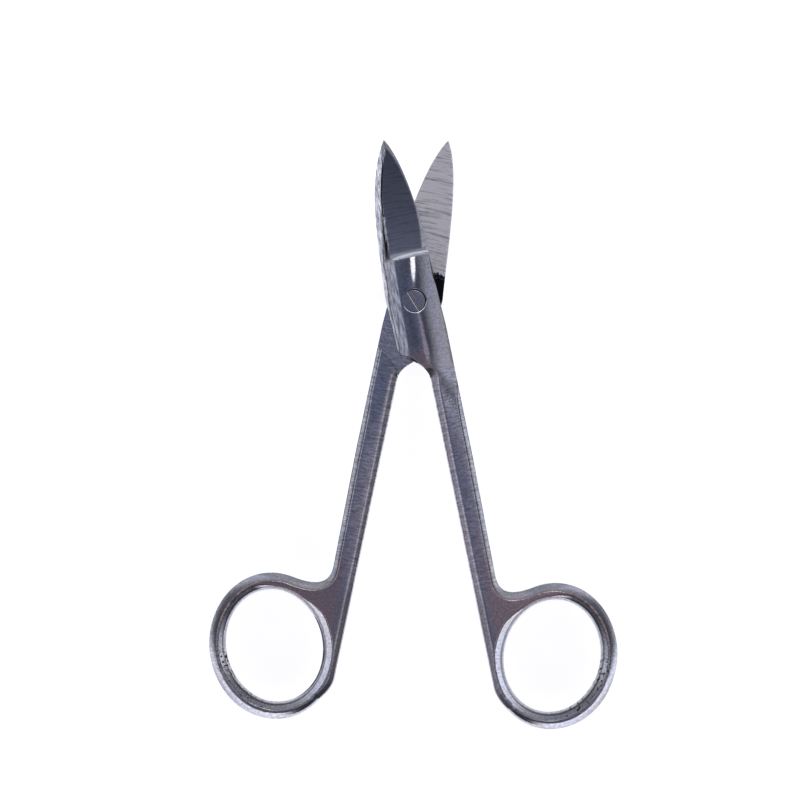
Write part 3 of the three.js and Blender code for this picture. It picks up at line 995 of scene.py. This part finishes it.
# Brightness of the surroundings towards each side, from the zenith (0) to the horizon (1)
ZENITH, NIGHT, BLUE = (0.15, 0.165, 0.225), (0.085, 0.092, 0.12), (0.13, 0.145, 0.195)
BROWN, UMBER, PINK = (0.18, 0.14, 0.15), (0.13, 0.10, 0.10), (0.33, 0.28, 0.30)
TO_BACK = (
    (0, ZENITH), (0.06, ZENITH), (0.1, NIGHT), (0.16, NIGHT), (0.18, BLUE), (0.26, 0.24),
    (0.45, 0.34), (0.6, 0.3), (0.68, 0.32), (0.78, 0.6), (1, 0.8),
)
TO_FRONT = (
    (0, ZENITH), (0.045, ZENITH), (0.065, BROWN), (0.4, BROWN), (0.5, 0.03), (0.69, 0.03),
    (0.75, 0.6), (0.8, 1.4), (1, 1.4),
)
TO_RIGHT = (
    (0, ZENITH), (0.04, ZENITH), (0.08, NIGHT), (0.16, NIGHT), (0.24, 0.3),
    (0.32, (0.44, 0.43, 0.49)), (0.45, 0.48), (0.49, UMBER), (0.6, 0.04), (0.7, 0.05),
    (0.76, 0.6), (0.8, 1.5), (0.87, 1.5), (0.9, 0.35), (1, 0.35),
)
TO_LEFT = (
    (0, NIGHT), (0.05, NIGHT), (0.12, BLUE), (0.25, BLUE), (0.31, (0.5, 0.51, 0.56)),
    (0.44, 0.54), (0.49, PINK), (0.52, PINK), (0.57, 0.05), (0.7, 0.05), (0.76, 0.65),
    (0.8, 1.2), (0.87, 1.2), (0.9, 0.35), (1, 0.35),
)
SKY_TINT = (0.98, 0.98, 1.07, 1.0)
SKY_STRENGTH = 1.1


def studio_world():
    """Soft surroundings, brightest at the horizon and dark overhead. Between two sides their
    brightness is blended by the square of the cosine to each."""
    world = bpy.data.worlds.new("studio")
    bpy.context.scene.world = world
    n = Nodes(world)
    way = n.new("TexCoord").outputs["Generated"]
    x, y, z = (n.new("SeparateXYZ", {0: way}).outputs[k] for k in range(3))
    from_zenith = n.math("DIVIDE", n.math("ARCCOSINE", z), math.pi / 2)
    level = n.math("MAXIMUM", n.without(n.times(z, z)), 1e-6)
    total = (0.0, 0.0, 0.0, 1.0)
    for axis, sign, stops in ((y, 1, TO_BACK), (y, -1, TO_FRONT), (x, 1, TO_RIGHT), (x, -1, TO_LEFT)):
        towards = n.math("MAXIMUM", n.times(axis, float(sign)), 0.0)
        share = n.math("DIVIDE", n.times(towards, towards), level)
        total = n.mix(share, total, n.ramp(from_zenith, *stops), "RGBA", blend_type="ADD")
    tinted = n.mix(1.0, total, SKY_TINT, "RGBA", blend_type="MULTIPLY")
    sky = n.new("Background", {"Color": tinted, "Strength": SKY_STRENGTH})
    n.new("OutputWorld", {"Surface": sky.outputs[0]})


def strip_lights():
    """Narrow soft light nearly overhead, which draws the highlight on the crown, and a dim warm
    one behind it. Sizes are angles as seen from the joint: middle and width, across and along."""
    strips = {
        "strip": ((6.0, 7.6), (13, 15.6), (1, 1, 1), 1.5),
        "warm_strip": ((6.6, 7.6), (-4, 13), (1.0, 0.82, 0.88), 0.24),
    }
    height = 1.2  # metres
    turn = Matrix.Rotation(math.radians(REST_HALF_ANGLE), 4, "Z")
    for name, (across, along, colour, brightness) in strips.items():
        (x, width), (y, length) = np.tan(np.radians([across, along])) * height
        data = bpy.data.lights.new(name, "AREA")
        data.shape = "ELLIPSE"
        data.size, data.size_y = width, length
        data.color = colour
        data.energy = brightness * math.pi * width * length
        lamp = bpy.data.objects.new(name, data)
        bpy.context.scene.collection.objects.link(lamp)
        lamp.matrix_world = turn @ Matrix.Translation((x, y, height))


def pale_floor():
    """Plain floor, bright enough by itself to come out white."""
    size = 12.0  # metres from the middle to each side
    mesh = bpy.data.meshes.new("floor")
    corners = [(-size, -size, 0), (size, -size, 0), (size, size, 0), (-size, size, 0)]
    mesh.from_pydata(corners, [], [(0, 1, 2, 3)])
    plane = bpy.data.objects.new("floor", mesh)
    bpy.context.scene.collection.objects.link(plane)
    material = bpy.data.materials.new("pale_floor")
    n = Nodes(material)
    shader = n.new("BsdfPrincipled", {
        "Base Color": (0.85, 0.85, 0.85, 1), "Roughness": 0.9,
        "Emission Color": (1, 1, 1, 1), "Emission Strength": 0.73,
    })
    n.new("OutputMaterial", {"Surface": shader.outputs[0]})
    mesh.materials.append(material)


def camera():
    """Straight down, over a point between the blades and the rings."""
    over = Vector((-2.72, -19.35)) * MM
    above = 0.55  # metres over the outer face
    field = 0.1568  # width of what it sees, in metres
    turned = 0.15  # degrees
    data = bpy.data.cameras.new("camera")
    data.lens = data.sensor_width * above / field
    data.clip_start = 0.01
    eye = bpy.data.objects.new("camera", data)
    bpy.context.scene.collection.objects.link(eye)
    eye.location = (*over, above + PLATE_OUTER * MM)
    eye.rotation_euler = (0, 0, math.radians(turned))
    bpy.context.scene.camera = eye
    bpy.context.scene.view_settings.view_transform = "Standard"


# ---------- assembly ----------

def put(piece, body, node, turn):
    """Place a piece, and let it stand for its CAD node."""
    lift = Matrix.Translation((0, 0, PLATE_OUTER * MM))
    piece.matrix_world = lift @ turn
    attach(piece, body)
    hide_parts(node)


opened = Matrix.Rotation(math.radians(REST_HALF_ANGLE), 4, "Z")
turned_over = opened.inverted() @ Matrix.Rotation(math.pi, 4, "Y")

front = forged_half(FRONT, "front_forging")
front.data.materials.append(steel_half("front_forged_steel", 0.0))
put(front, "front_body", "front_half", opened)

rear = forged_half(REAR, "rear_forging")
rear.data.materials.append(steel_half("rear_forged_steel", 0.31))
put(rear, "rear_body", "rear_half", turned_over)

screw = screw_piece()
screw.data.materials.append(steel_screw())
put(screw, "rear_body", "pivot_screw", Matrix.Identity(4))

camera()
studio_world()
strip_lights()
pale_floor()
